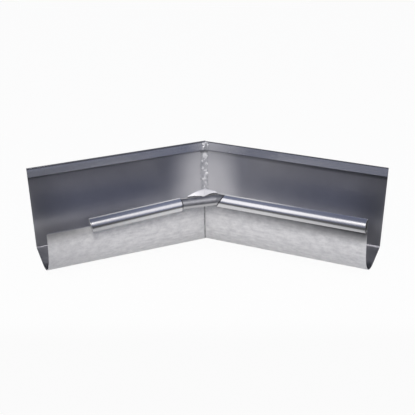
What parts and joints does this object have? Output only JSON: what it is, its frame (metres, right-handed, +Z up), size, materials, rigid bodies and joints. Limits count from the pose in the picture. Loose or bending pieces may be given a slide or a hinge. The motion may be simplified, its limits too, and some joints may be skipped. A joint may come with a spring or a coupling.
{
  "type": "gutter internal mitre",
  "caption": "Internal mitre for a quad roof gutter: two lengths of bent galvanised sheet with a rounded front and rolled bead, lapped and soldered at an obtuse corner",
  "frame": {"origin": "centre of the footprint, on the underside of the sole", "axes": "+Z up; the back walls face +Y and meet at the middle; the rounded fronts face -Y; the lengths run to -X and +X"},
  "size_m": [0.3942, 0.1898, 0.1],
  "materials": {
    "galvanised_sheet": "dull zinc coating, faintly mottled",
    "joiner_sheet": "dull weathered zinc",
    "solder": "bright lumpy solder"
  },
  "bodies": {
    "root": {"left_gutter": "galvanised_sheet", "right_gutter": "galvanised_sheet", "bead_joiner": "joiner_sheet", "solder_seam": "solder"}
  },
  "joints": []
}
